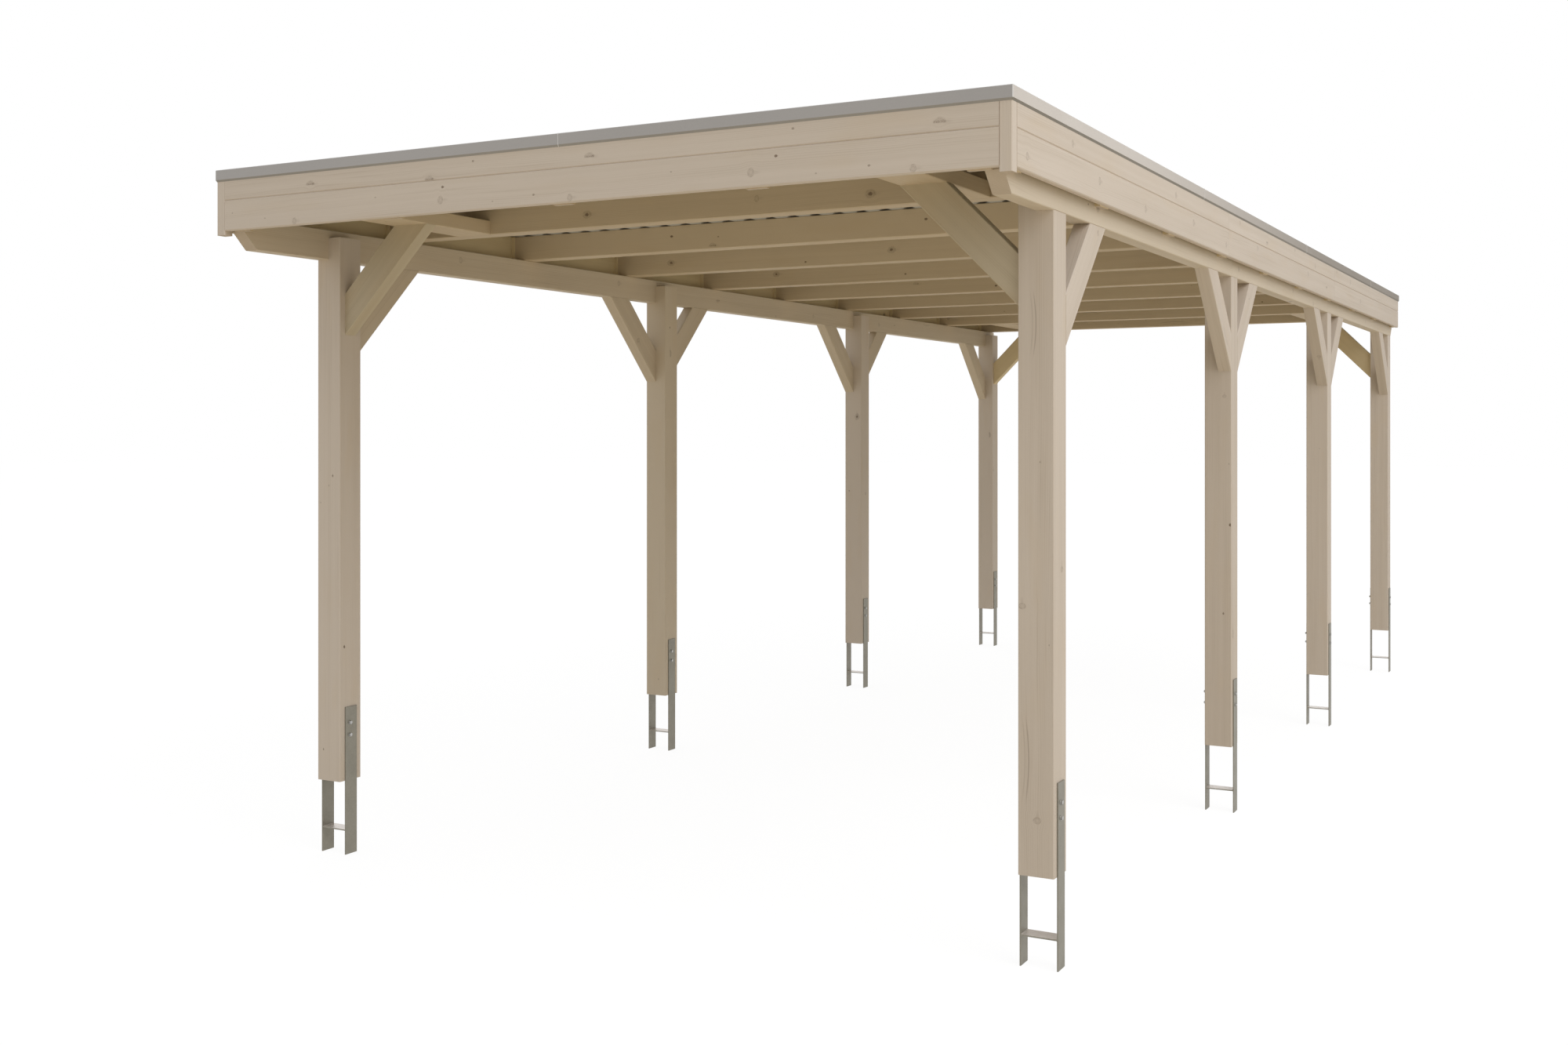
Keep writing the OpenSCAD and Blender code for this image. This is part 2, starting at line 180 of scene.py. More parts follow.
def makeSpruce(look):
    material, tree, shader = newMaterial(look["name"])
    along, acrossFlat, own = partsOf(attributeOf(tree, "grain"))
    knotX, knotY, knotR = partsOf(attributeOf(tree, "knot"))
    endGrain, edge, tone = partsOf(attributeOf(tree, "cut"))
    seed = own * 40.0

    def grainCloud(alongScale, across, acrossScale, detail=2.0, layer=0.0):
        place = vectorOf(tree, along * alongScale, across * acrossScale, seed + layer)
        return cloud(place, 1.0, detail)

    # the grain wanders slowly and parts round each knot
    wander = (grainCloud(0.9, acrossFlat, 4.0) - 0.5) * 0.035
    square = knotX * knotX + knotY * knotY
    isKnot = knotR > 0.0005
    isStreak = knotR < -0.0005
    part = knotY * knotR / (square + 0.5) * abs(knotX).fall(1.2, 3.0) * (isKnot * 0.8)
    across = acrossFlat + wander - part

    # growth rings: uneven, in places drawn out to arches, seen in some stretches more than in others
    arch = grainCloud(0.42, across, 3.4, 1.0, 3.0) * look["arches"]
    uneven = grainCloud(0.10, across, 34.0, 1.0, 5.0) * 2.6
    ring = (across / look["ringGap"] + (arch + uneven)).math("FRACT")
    shown = grainCloud(1.3, across, 26.0, 2.0, 9.0).step(0.42, 0.74, 0.04, 1.0)
    late = ring.step(0.38, 0.90) * ring.fall(0.92, 1.0) * shown
    streaks = grainCloud(2.3, across, 170.0, 2.0, 13.0).step(0.52, 0.80)
    streaks = streaks * grainCloud(0.9, across, 18.0, 1.0, 17.0).step(0.42, 0.70)
    bands = grainCloud(0.45, across, 48.0, 2.0, 21.0)
    fibres = grainCloud(14.0, across, 850.0, 2.0, 25.0)
    blotch = grainCloud(1.5, acrossFlat, 4.5, 1.0, 29.0)
    blush = grainCloud(3.0, acrossFlat, 13.0, 1.0, 33.0).step(0.50, 0.80)
    darkness = late * look["lines"] + streaks * look["streaks"]
    darkness = darkness + (bands - 0.36) * look["bands"] + (fibres - 0.42) * look["fibres"]
    darkness = darkness + (blotch - 0.5) * look["blotches"] + (tone - 0.5) * look["tones"]
    colour = tint(darkness.math("MAXIMUM", 0.0).math("MINIMUM", 1.0), look["pale"], look["dark"])
    colour = tint(blush * look["blushes"], colour, look["blush"])

    def over(kind):  # 1 for what is larger than the kind's limit
        return knotR.step(knotLimits[kind] - knotLimits["soft"], knotLimits[kind] + knotLimits["soft"])

    # knots by their radius: dark pins, outlined ovals, brown half-moons and cored ones
    isOval = over("pin") * (1.0 - over("oval"))
    isMoon = over("oval") * (1.0 - over("moon"))
    knotSeed = knotR * 900.0 + seed
    ragged = cloud(vectorOf(tree, knotX, knotY, knotSeed), 1.3)
    mottle = cloud(vectorOf(tree, knotX, knotY * 1.6, knotSeed), 5.0).step(0.36, 0.66)
    stretchX = knotX / (isOval * -0.50 + 1.30)
    rho = (stretchX * stretchX + knotY * knotY).math("SQRT") + (ragged - 0.5) * 0.55
    inside = rho.fall(0.72, 1.05)
    rim = rho.step(0.66, 0.90) * rho.fall(0.92, 1.16)
    rimInner = rho.step(0.34, 0.52) * rho.fall(0.52, 0.68)
    upper = knotY.step(-0.30, 0.02)
    bottom = upper * knotY.fall(0.05, 0.42)
    pinShade = (1.0 - over("pin")) * inside * knotR.step(0.003, 0.0055, 0.35, 0.85)
    ovalShade = rim * ragged.step(0.36, 0.62, 0.07, 0.34) + rimInner * 0.15 + inside * 0.12
    moonShade = (bottom * mottle * 0.50 + mottle * 0.22 + 0.10) * inside * upper
    coreShade = (mottle * 0.20 + rho.fall(0.18, 0.48) * 0.62 + 0.16) * inside
    tail = abs(knotY).fall(0.10, 0.55) * knotX.step(0.3, 1.0) * knotX.fall(1.2, 2.8)
    knotted = pinShade + isOval * ovalShade + isMoon * moonShade + over("moon") * coreShade + tail * 0.12
    knotted = knotted.math("MINIMUM", 0.92) * isKnot

    # long dark streaks, bent like a flame
    gap = knotY - (knotX * knotX * -4.0 + 2.0)
    twin = abs(gap + 3.6).fall(0.2, 1.0) * 0.45
    drawn = abs(gap).fall(0.15, 1.0).math("MAXIMUM", twin) * abs(knotX).step(0.45, 1.0, 0.36, 0.0)
    knotted = knotted + drawn * isStreak
    colour = tint(knotted, colour, look["knot"])

    # bevelled edges are painted paler, partly as wear and partly as a painted highlight; sawn ends show the
    # rings
    colour = tint(edge * look["edges"], colour, look["pale"])
    radius = (along * along + acrossFlat * acrossFlat).math("SQRT")
    endCloud = cloud(vectorOf(tree, along, acrossFlat, seed), 30.0, 3.0)
    endRing = (endCloud * 0.8 + radius / look["endRingGap"]).math("FRACT")
    endColour = tint(endCloud * 0.5 + endRing * 0.30, look["endPale"], look["endDark"])
    feed(tree, shader.inputs["Base Color"], tint(endGrain, colour, endColour))
    rough = bands * 0.16 + (look["roughness"] - 0.06)
    feed(tree, shader.inputs["Roughness"], rough + knotted * -0.12)
    bumpFrom(shader, fibres * 0.6 + late * -0.5 + knotted * -0.8, look["bump"], look["relief"])
    shader.inputs["Specular IOR Level"].default_value = look["gloss"]
    return material


# Metals

anchorSteel = {
    "name": "anchor_galvanised", "base": (0.270, 0.252, 0.206), "worn": (0.36, 0.34, 0.29),
    "dull": (0.252, 0.235, 0.192), "metallic": 0.7, "roughness": 0.46, "patch": 16.0, "spangle": 130.0,
    "coat": 0.0, "gloss": 0.5, "bump": 0.10,
}
# a much paler copy of the galvanised steel for the crossbar tops: painted light
anchorBarPaintedLight = dict(anchorSteel, name="anchor_bar_top_painted_light", base=(0.84, 0.78, 0.73), worn=(0.86, 0.80, 0.75),
                 dull=(0.82, 0.76, 0.71), metallic=0.6, roughness=0.30, bump=0.03)
weldSteel = dict(anchorSteel, name="anchor_weld", base=(0.50, 0.465, 0.42), worn=(0.56, 0.525, 0.48),
                 dull=(0.44, 0.405, 0.36), metallic=0.4, roughness=0.5)
boltZinc = dict(anchorSteel, name="bolt_zinc", base=(0.46, 0.45, 0.43), worn=(0.56, 0.55, 0.53),
                dull=(0.36, 0.35, 0.33), metallic=1.0, roughness=0.28, patch=180.0, spangle=900.0)
edgeTrim = dict(anchorSteel, name="edge_trim_grey", base=(0.318, 0.300, 0.290), worn=(0.345, 0.327, 0.316),
                dull=(0.300, 0.283, 0.273), metallic=0.0, roughness=0.32, patch=1.2, spangle=260.0, coat=1.0,
                gloss=1.0)
# painted light: the side trims get a far paler copy of the front trim's grey, and fade to painted shade
# towards the rear
trimSidePaintedLight = dict(edgeTrim, name="edge_trim_side", base=(0.655, 0.622, 0.600), worn=(0.68, 0.647, 0.625),
                dull=(0.625, 0.593, 0.570), roughness=0.55, coat=0.0, gloss=0.1,
                far=(0.335, 0.306, 0.278), paintedFalloff=(-3.6, 1.6))  # painted falloff of light: paler towards the front, darker towards the rear, along y
# the hems are painted dark as painted shade under the trim; the front hems less dark
trimHem = dict(edgeTrim, name="edge_trim_hem", base=(0.255, 0.236, 0.208), worn=(0.285, 0.266, 0.238),
               dull=(0.228, 0.210, 0.184), roughness=0.55, coat=0.0, gloss=0.3)
trimHemFront = dict(trimHem, name="edge_trim_hem_front", base=(0.350, 0.330, 0.306),
                    worn=(0.38, 0.36, 0.336), dull=(0.325, 0.305, 0.282))
# lighter bare metal for the joint beads, also used as a painted highlight on the trim's rounded top edge and
# front corners
trimJointAndHighlight = dict(edgeTrim, name="edge_trim_joint_and_painted_highlight", base=(0.62, 0.61, 0.60), worn=(0.70, 0.69, 0.68),
                 dull=(0.55, 0.54, 0.53))
roofSteel = dict(anchorSteel, name="roof_sheet_grey", base=(0.42, 0.43, 0.43), worn=(0.50, 0.51, 0.51),
                 dull=(0.385, 0.393, 0.393), metallic=0.0, roughness=0.42, patch=1.6, spangle=320.0)
roofBack = dict(roofSteel, name="roof_sheet_back_coat", base=(0.46, 0.447, 0.410), worn=(0.50, 0.487, 0.45),
                dull=(0.42, 0.407, 0.37), roughness=0.5)


def makeMetal(look):
    material, tree, shader = newMaterial(look["name"])
    place = addNode(tree, "ShaderNodeTexCoord", {}, "Object")
    patch = cloud(place, look["patch"], 4.0, 0.55)
    spangle = addNode(tree, "ShaderNodeTexVoronoi", {"Vector": place, "Scale": look["spangle"]}, "Color")
    fleck = partsOf(spangle)[0]
    fine = cloud(place, look["spangle"] * 3.0)
    colour = tint(patch.step(0.42, 0.72), look["base"], look["dull"])
    colour = tint(fleck * 0.28, colour, look["worn"])
    # painted falloff of light: the colour darkens towards the rear along y
    if "paintedFalloff" in look:
        colour = tint(partsOf(place)[1].step(*look["paintedFalloff"]), colour, look["far"])
    feed(tree, shader.inputs["Base Color"], colour)
    feed(tree, shader.inputs["Roughness"], patch * 0.18 + (look["roughness"] - 0.09) + fleck * 0.06)
    constants = {"Metallic": look["metallic"], "Coat Weight": look["coat"], "Coat Roughness": 0.25,
                 "Specular IOR Level": look["gloss"]}
    for name, value in constants.items():
        shader.inputs[name].default_value = value
    bumpFrom(shader, fine + patch * 2.0, look["bump"], 0.0002)
    return material


spruces = {"frame": spruceFrame, "roof": spruceRoof, "beam": spruceBeamShadeTint, "brace": spruceBracePaintedShade,
           "inner": spruceInnerPaintedBounce}
metals = {"anchor": anchorSteel, "anchorBarPaintedLight": anchorBarPaintedLight, "weld": weldSteel, "bolt": boltZinc,
          "trim": edgeTrim, "trimSidePaintedLight": trimSidePaintedLight, "trimHem": trimHem, "trimHemFront": trimHemFront,
          "trimJointAndHighlight": trimJointAndHighlight, "sheet": roofSteel, "sheetBack": roofBack}
materials = {key: makeSpruce(look) for key, look in spruces.items()}
materials.update({key: makeMetal(look) for key, look in metals.items()})
print("materials made:", len(materials))


# Placing pieces

meshLimits = {"merge": 0.00002, "mergeTurned": 0.00001, "mergeTrim": 0.000002, "mergeSheet": 0.0001,
              "flat": 0.01, "flatter": 0.002}  # metres, and angles in radians


def addPiece(name, mesh, finishes, replaced=()):  # a finished piece from the edited mesh
    made = bpy.data.meshes.new(name)
    mesh.to_mesh(made)
    mesh.free()
    for finish in finishes:
        made.materials.append(materials[finish])
    piece = bpy.data.objects.new(name, made)
    bpy.context.scene.collection.objects.link(piece)
    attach(piece, "root")
    if replaced:
        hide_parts(*replaced)
    return made


def mergedCopy(node):  # the node's triangles as whole flat faces
    mesh = bmesh.new()
    mesh.from_mesh(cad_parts[node].data)
    bmesh.ops.remove_doubles(mesh, verts=mesh.verts, dist=meshLimits["merge"])
    bmesh.ops.dissolve_limit(mesh, angle_limit=meshLimits["flat"], verts=mesh.verts, edges=mesh.edges)
    return mesh


def islandsOf(mesh):
    mesh.faces.index_update()
    seen = [False] * len(mesh.faces)
    islands = []
    for face in mesh.faces:
        if seen[face.index]:
            continue
        seen[face.index] = True
        stack, group = [face], []
        while stack:
            current = stack.pop()
            group.append(current)
            for edge in current.edges:
                for other in edge.link_faces:
                    if not seen[other.index]:
                        seen[other.index] = True
                        stack.append(other)
        islands.append(group)
    return islands


# Timbers: the CAD solids with a grain direction, knots and end grain of their own

knotKinds = {  # radius, spread of the radius, how many a metre on one face
    "pin": (0.0035, 0.0012, 0.55),
    "oval": (0.0125, 0.0015, 0.26),
    "brown": (0.0175, 0.0020, 0.26),
    "streak": (0.0030, 0.0006, 0.12),
}
knotPlace = {
    "reach": 3.0,  # a knot's patch, in radii to each side
    "margin": 0.15,  # part of the face's width that stays clear
    "apart": 1.4,  # in radii, for two that lie side by side
    "inside": 0.004,  # how far off a solid a chosen place may be
    "widest": 0.45,  # radius against the face's width
    "streak": (0.08, 0.16),
}
faceLimits = {"end": 0.3, "tie": 0.001, "bevel": 0.95, "inner": 0.5}  # of a normal's share along an axis
grainSpread = {"along": 40, "across": 9, "pithSide": 0.05, "pithUp": (0.02, 0.09)}
knotDensity = {"post": 0.6, "beam": 0.8, "sideBrace": 0.5, "small": 0.3}
noKnot = (9, 9, 0)
plainTones = (0.25, 0.75)
worldAxes = (Vector((1, 0, 0)), Vector((0, 1, 0)), Vector((0, 0, 1)))


def grainAxes(edges):
    longest = max(edges, key=lambda e: round(e.calc_length(), 5))
    along = (longest.verts[1].co - longest.verts[0].co).normalized()
    lead = max(range(3), key=lambda k: round(abs(along[k]), 4))
    if along[lead] < 0:
        along.negate()
    side = min(worldAxes, key=lambda a: round(abs(a.dot(along)), 4)).copy()
    return along, side, along.cross(side)


def faceKey(normal, along, side, up):
    if abs(normal.dot(along)) > faceLimits["end"]:
        return "end"
    if abs(normal.dot(side)) >= abs(normal.dot(up)) - faceLimits["tie"]:
        return "side+" if normal.dot(side) > 0 else "side-"
    return "up+" if normal.dot(up) > 0 else "up-"


def spanOf(verts, axis):
    values = [v.co.dot(axis) for v in verts]
    return min(values), max(values)


def knotsFor(rng, verts, axes, chosen, density):  # place along, place across, radius, reach along
    along, side, up = axes
    low, high = spanOf(verts, along)
    spans = {"side": spanOf(verts, up), "up": spanOf(verts, side)}
    knots = {"side+": [], "side-": [], "up+": [], "up-": []}
    splits = []

    def place(key, s, t, radius, reach, seen):
        for otherS, otherT, otherRadius, otherReach in knots[key]:
            if abs(otherS - s) < otherReach + reach:
                beside = abs(otherT - t) > knotPlace["apart"] * (abs(otherRadius) + abs(radius))
                if not (seen and beside):
                    return
                start, end = min(otherS - otherReach, s - reach), max(otherS + otherReach, s + reach)
                splits.append((key, start, end, (otherT + t) / 2))
        knots[key].append((s, t, radius, reach))

    def within(value, span):
        return span[0] - knotPlace["inside"] < value < span[1] + knotPlace["inside"]

    for x, y, z, radius, *length in chosen:  # the ones that show in the photograph
        point = Vector((x, y, z))
        s, a, b = point.dot(along), point.dot(side), point.dot(up)
        away = {"side+": abs(a - spans["up"][1]), "side-": abs(a - spans["up"][0]),
                "up+": abs(b - spans["side"][1]), "up-": abs(b - spans["side"][0])}
        key = min(away, key=away.get)
        if low < s < high and within(a, spans["up"]) and within(b, spans["side"]):
            t = b if key.startswith("side") else a
            if length:
                place(key, s, t, -radius, length[0], True)
            else:
                place(key, s, t, radius, knotPlace["reach"] * radius, True)
    taken = {key for key in knots if knots[key]}
    for key in knots:
        tLow, tHigh = spans[key[:-1]]
        for kind, (radius, spread, perMetre) in knotKinds.items():
            count = int((high - low) * perMetre * density + rng.random())
            for _ in range(count):
                s = rng.uniform(low, high)
                t = tLow + (tHigh - tLow) * rng.uniform(knotPlace["margin"], 1 - knotPlace["margin"])
                size = radius + rng.uniform(-spread, spread)
                if key in taken or abs(size) > knotPlace["widest"] * (tHigh - tLow):
                    continue
                if kind == "streak":
                    place(key, s, t, -size, rng.uniform(*knotPlace["streak"]), False)
                else:
                    place(key, s, t, size, knotPlace["reach"] * size, False)
    return knots, splits


boardEdge = {"groove": 0.0075, "near": 0.0006}
battenEdge = {"wider": 0.009}


def closeGroove(mesh):  # the lowest boards end in a plain edge
    low = min(v.co.z for v in mesh.verts)
    for vert in mesh.verts:
        if abs(vert.co.z - low - boardEdge["groove"]) < boardEdge["near"]:
            vert.co.z = low
    bmesh.ops.remove_doubles(mesh, verts=mesh.verts, dist=meshLimits["merge"])
    bmesh.ops.dissolve_degenerate(mesh, edges=mesh.edges, dist=meshLimits["merge"])
    bmesh.ops.dissolve_limit(mesh, angle_limit=meshLimits["flatter"], verts=mesh.verts, edges=mesh.edges)
    mesh.verts.index_update()
    mesh.edges.index_update()
    mesh.faces.index_update()
    mesh.normal_update()


def widenBattens(mesh):  # so that their edges show beside the rafters
    for group in islandsOf(mesh):
        verts = {v for f in group for v in f.verts}
        middle = sum(spanOf(verts, worldAxes[1])) / 2
        for vert in verts:
            vert.co.y += math.copysign(battenEdge["wider"], vert.co.y - middle)


def cutFaces(mesh, faces, place, normal):
    kept = set(faces)
    edges = [e for e in mesh.edges if any(f in kept for f in e.link_faces)]
    verts = [v for v in mesh.verts if any(f in kept for f in v.link_faces)]
    bmesh.ops.bisect_plane(mesh, geom=verts + edges + list(faces), plane_co=place, plane_no=normal)


def dressTimber(node, look, chosen=(), density=1.0, tones=plainTones, inward=None):
    rng = random.Random("spruce " + node)
    mesh = mergedCopy(node)
    if node.startswith("fascia") and node.endswith("lower"):
        closeGroove(mesh)
    if node in ("battens_left", "battens_right"):
        widenBattens(mesh)
    layers = {name: mesh.loops.layers.float_vector.new(name) for name in ("grain", "knot", "cut")}
    solidLayer = mesh.faces.layers.int.new("solid")
    solids = []
    for number, group in enumerate(islandsOf(mesh)):
        verts = list({v.index: v for f in group for v in f.verts}.values())
        edges = list({e.index: e for f in group for e in f.edges}.values())
        axes = grainAxes(edges)
        for face in group:
            face[solidLayer] = number
        knots, splits = knotsFor(rng, verts, axes, chosen, density)
        middles = [sum(spanOf(verts, axis)) / 2 for axis in axes[1:]]
        solids.append({
            "axes": axes, "knots": knots, "splits": splits, "tone": rng.uniform(*tones), "own": rng.random(),
            "shift": rng.uniform(0, grainSpread["along"]),
            "faceShift": {key: rng.uniform(0, grainSpread["across"]) for key in knots},
            "pith": (middles[0] + rng.uniform(-grainSpread["pithSide"], grainSpread["pithSide"]),
                     middles[1] + rng.uniform(*grainSpread["pithUp"]))})

    # cuts across each timber bound the patches that hold a knot
    for number, solid in enumerate(solids):
        along, side, up = solid["axes"]
        cuts = set()
        for key in solid["knots"]:
            for s, _, _, reach in solid["knots"][key]:
                cuts.add(round(s - reach, 5))
                cuts.add(round(s + reach, 5))
        for place in sorted(cuts):
            cutFaces(mesh, [f for f in mesh.faces if f[solidLayer] == number], along * place, along)
        for key, sLow, sHigh, t in solid["splits"]:
            across = up if key.startswith("side") else side
            faces = [f for f in mesh.faces if f[solidLayer] == number
                     and faceKey(f.normal, along, side, up) == key
                     and sLow < f.calc_center_median().dot(along) < sHigh]
            cutFaces(mesh, faces, across * t, across)
    for face in mesh.faces:
        solid = solids[face[solidLayer]]
        along, side, up = solid["axes"]
        key = faceKey(face.normal, along, side, up)
        square = max(abs(face.normal.dot(side)), abs(face.normal.dot(up)))
        isEnd = 1.0 if key == "end" else 0.0
        isEdge = 1.0 if key != "end" and square < faceLimits["bevel"] else 0.0
        centre = face.calc_center_median()
        middle = centre.dot(along)
        level = centre.dot(up if key.startswith("side") else side)
        near = [k for k in solid["knots"].get(key, ()) if abs(middle - k[0]) < k[3]]
        knot = min(near, key=lambda k: abs(level - k[1])) if near else None
        for loop in face.loops:
            point = loop.vert.co
            s, a, b = point.dot(along), point.dot(side), point.dot(up)
            t = b if key.startswith("side") else a
            if isEnd:
                grain = (a - solid["pith"][0], b - solid["pith"][1], solid["own"])
            else:
                grain = (s + solid["shift"], t + solid["faceShift"][key], solid["own"])
            knotted = noKnot
            if knot:
                length = knot[3] if knot[2] < 0 else knot[2]
                knotted = ((s - knot[0]) / length, (t - knot[1]) / abs(knot[2]), knot[2])
            loop[layers["grain"]] = Vector(grain)
            loop[layers["knot"]] = Vector(knotted)
            loop[layers["cut"]] = Vector((isEnd, isEdge, solid["tone"]))
    finishes = [look, "inner"] if inward else [look]
    made = addPiece(node + "_spruce", mesh, finishes, [node])
    if inward:  # the faces that look inwards take the paler, yellower inner look: painted bounce light and its warm tint
        for face in made.polygons:
            face.material_index = 1 if face.normal.dot(Vector(inward)) > faceLimits["inner"] else 0


frontBoards = {  # x, z and radius of the knots on the two front boards, in the part's frame
    "upper": [(-1.125, 2.63, 0.0165), (0.125, 2.63, 0.0165), (1.38, 2.63, 0.017), (-0.56, 2.605, 0.0165),
              (-0.365, 2.655, 0.004), (0.89, 2.655, 0.004)],
    "lower": [(-1.205, 2.50, 0.013), (0.045, 2.50, 0.013), (1.295, 2.50, 0.013), (-0.51, 2.53, 0.0145),
              (0.74, 2.53, 0.0145), (-0.50, 2.575, 0.005), (0.83, 2.575, 0.005), (-0.81, 2.56, 0.003),
              (0.445, 2.555, 0.003), (-0.28, 2.51, 0.003), (0.97, 2.51, 0.003), (-1.355, 2.52, 0.003),
              (-0.105, 2.52, 0.004), (1.15, 2.52, 0.004), (-1.525, 2.55, 0.003)],
}
rightBoards = {  # y, z and radius on the right side boards
    "upper": [(-3.47, 2.635, 0.0135), (-2.205, 2.635, 0.0135), (-0.525, 2.63, 0.016), (1.90, 2.64, 0.014),
              (-1.10, 2.655, 0.01), (0.16, 2.66, 0.011), (0.73, 2.63, 0.014), (1.42, 2.66, 0.011),
              (2.66, 2.67, 0.011)],
    "lower": [(-3.895, 2.53, 0.013), (-3.185, 2.555, 0.0145), (-2.63, 2.53, 0.014), (-1.93, 2.56, 0.0145),
              (-1.365, 2.53, 0.014), (-0.735, 2.58, 0.013), (0.525, 2.57, 0.014), (1.08, 2.545, 0.016),
              (2.30, 2.55, 0.014)],
}
rafterKnots = {  # x, z and radius on the front faces of the rafters that show
    2: [(-0.53, 2.59, 0.019), (0.725, 2.585, 0.019), (0.25, 2.60, 0.013), (1.30, 2.60, 0.004)],
    3: [(-0.68, 2.605, 0.006), (-0.435, 2.59, 0.004), (-0.465, 2.55, 0.016), (0.57, 2.605, 0.006)],
    4: [(-1.235, 2.595, 0.018), (0.015, 2.595, 0.019), (-0.45, 2.56, 0.005)],
    5: [(-1.09, 2.605, 0.018), (-0.30, 2.57, 0.005), (0.40, 2.60, 0.004)],
    6: [(-0.115, 2.57, 0.006), (-0.62, 2.60, 0.016)],
}
postKnots = {  # x, z and radius on the front faces of the posts, with a length for a streak
    "post_right_1": [(1.52, 1.62, 0.003), (1.55, 1.04, 0.0025), (1.51, 0.48, 0.0135), (1.46, 1.16, 0.0125),
                     (1.475, 0.67, 0.0035, 0.16), (1.50, 2.06, 0.003, 0.12)],
    "post_left_1": [(-1.485, 1.54, 0.0045), (-1.535, 0.425, 0.004), (-1.505, 1.50, 0.003),
                    (-1.55, 1.43, 0.003)],
    "post_right_2": [(1.535, 1.88, 0.009), (1.56, 1.30, 0.006), (1.53, 0.90, 0.0045), (1.555, 1.575, 0.003)],
}
postSideKnot = (-3.51, 0.845, 0.0055)  # y, z and radius on the inner face of post_left_1
beamKnots = {  # y, z and radius on the faces towards +X
    "left": [(-2.71, 2.495, 0.014), (-1.445, 2.495, 0.014), (0.765, 2.465, 0.013), (0.265, 2.435, 0.004),
             (-0.435, 2.48, 0.016)],
    "right": [(-0.945, 2.465, 0.013), (0.325, 2.465, 0.013), (0.90, 2.435, 0.013)],
}
braceKnot = (1.566, -3.075, 2.395, 0.011)
# tones set piece by piece against the light: shaded left posts and rafter 3 paler as painted light, sunlit
# right posts darker as painted shade; rafter 2 darker
postTones = {"post_left_1": 0.1, "post_left_2": -0.4, "post_left_3": -0.5, "post_left_4": -0.4,
             "post_right_1": 1.2, "post_right_2": 1.5, "post_right_3": 0.7, "post_right_4": 0.6}
rafterTones = {2: 1.2, 3: -0.3}
midTone, toneSpread = 0.5, 0.05
sideTones = (0.55, 0.95)
# the battens are made paler than the rafters beside them: painted light on their shaded front edges
battenTones = (-0.3, -0.1)
# left side braces take the shade-tinted beam look (painted shade); right side braces the frame look, darker;
# front cross braces the darker brace look (painted shade); rear cross braces the paler inner look (painted
# bounce light)
sideBraces = {"left": ("beam", (), plainTones), "right": ("frame", [braceKnot], (0.9, 1.3))}
crossBraces = {"front": ("brace", (0.6, 0.7)), "rear": ("inner", (0.0, 0.2))}


def onFront(node, rows):  # rows of x, z, radius on a node's front face
    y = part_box(node)[0].y
    return [(x, y, z, *sizes) for x, z, *sizes in rows]


def onRight(node, rows):  # rows of y, z, radius on the face towards +X
    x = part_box(node)[1].x
    return [(x, y, z, *sizes) for y, z, *sizes in rows]


def tonesAbout(tone):
    return tone - toneSpread, tone + toneSpread


for row, inward in (("left", (1, 0, 0)), ("right", (-1, 0, 0))):
    for i in range(1, 5):
        post = f"post_{row}_{i}"
        chosen = onFront(post, postKnots.get(post, ()))
        if post == "post_left_1":
            chosen += onRight(post, [postSideKnot])
        # post_left_2 takes the yellower shade-tinted beam look: painted shade
        look = "beam" if post == "post_left_2" else "frame"
        dressTimber(post, look, chosen, knotDensity["post"], tonesAbout(postTones[post]))
    beam = f"beam_{row}"
    dressTimber(beam, "beam", onRight(beam, beamKnots[row]), knotDensity["beam"], sideTones)
    look, chosen, tones = sideBraces[row]
    dressTimber(f"side_braces_{row}", look, chosen, knotDensity["sideBrace"], tones)
    for level in ("lower", "upper"):
        boards = f"fascia_{row}_{level}"
        chosen = onRight(boards, rightBoards[level]) if row == "right" else ()
        dressTimber(boards, "frame", chosen, tones=sideTones, inward=inward)
    dressTimber(f"battens_{row}", "inner", density=knotDensity["small"], tones=battenTones)
    dressTimber(f"corner_timber_{row}", "frame", density=0.0)
for end, (look, tones) in crossBraces.items():
    dressTimber(f"cross_braces_{end}", look, density=knotDensity["small"], tones=tones)
    dressTimber(f"blocks_{end}", "roof", density=knotDensity["small"])
for level in ("lower", "upper"):
    boards = f"fascia_front_{level}"
    dressTimber(boards, "frame", onFront(boards, frontBoards[level]), inward=(0, 1, 0))
dressTimber("battens_front", "roof", density=0.0)
for i in range(1, 11):
    rafter = f"rafter_{i}"
    chosen = onFront(rafter, rafterKnots.get(i, ()))
    dressTimber(rafter, "roof", chosen, tones=tonesAbout(rafterTones.get(i, midTone)))
print("timbers dressed")


# Steel anchors with rounded bar edges

anchorEdge = {"radius": 0.0008, "steps": 2, "angle": 0.6, "within": 0.058, "level": 0.9}


def dressAnchors(node):
    mesh = mergedCopy(node)
    sharp = [e for e in mesh.edges if e.is_manifold and e.calc_face_angle() > anchorEdge["angle"]]
    bmesh.ops.bevel(mesh, geom=sharp, offset=anchorEdge["radius"], segments=anchorEdge["steps"],
                    affect="EDGES", profile=0.5, clamp_overlap=True)
    made = addPiece(node + "_steel", mesh, ["anchor", "anchorBarPaintedLight"], [node])
    low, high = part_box(node)
    for face in made.polygons:  # the tops of the cross bars between the legs get a far paler copy of the steel: painted light
        between = abs(face.center.x - (low.x + high.x) / 2) < anchorEdge["within"]
        face.material_index = 1 if between and abs(face.normal.z) > anchorEdge["level"] else 0


for row in ("left", "right"):
    dressAnchors(f"anchors_{row}")
print("anchors dressed")


# Helpers for trees of geometry nodes

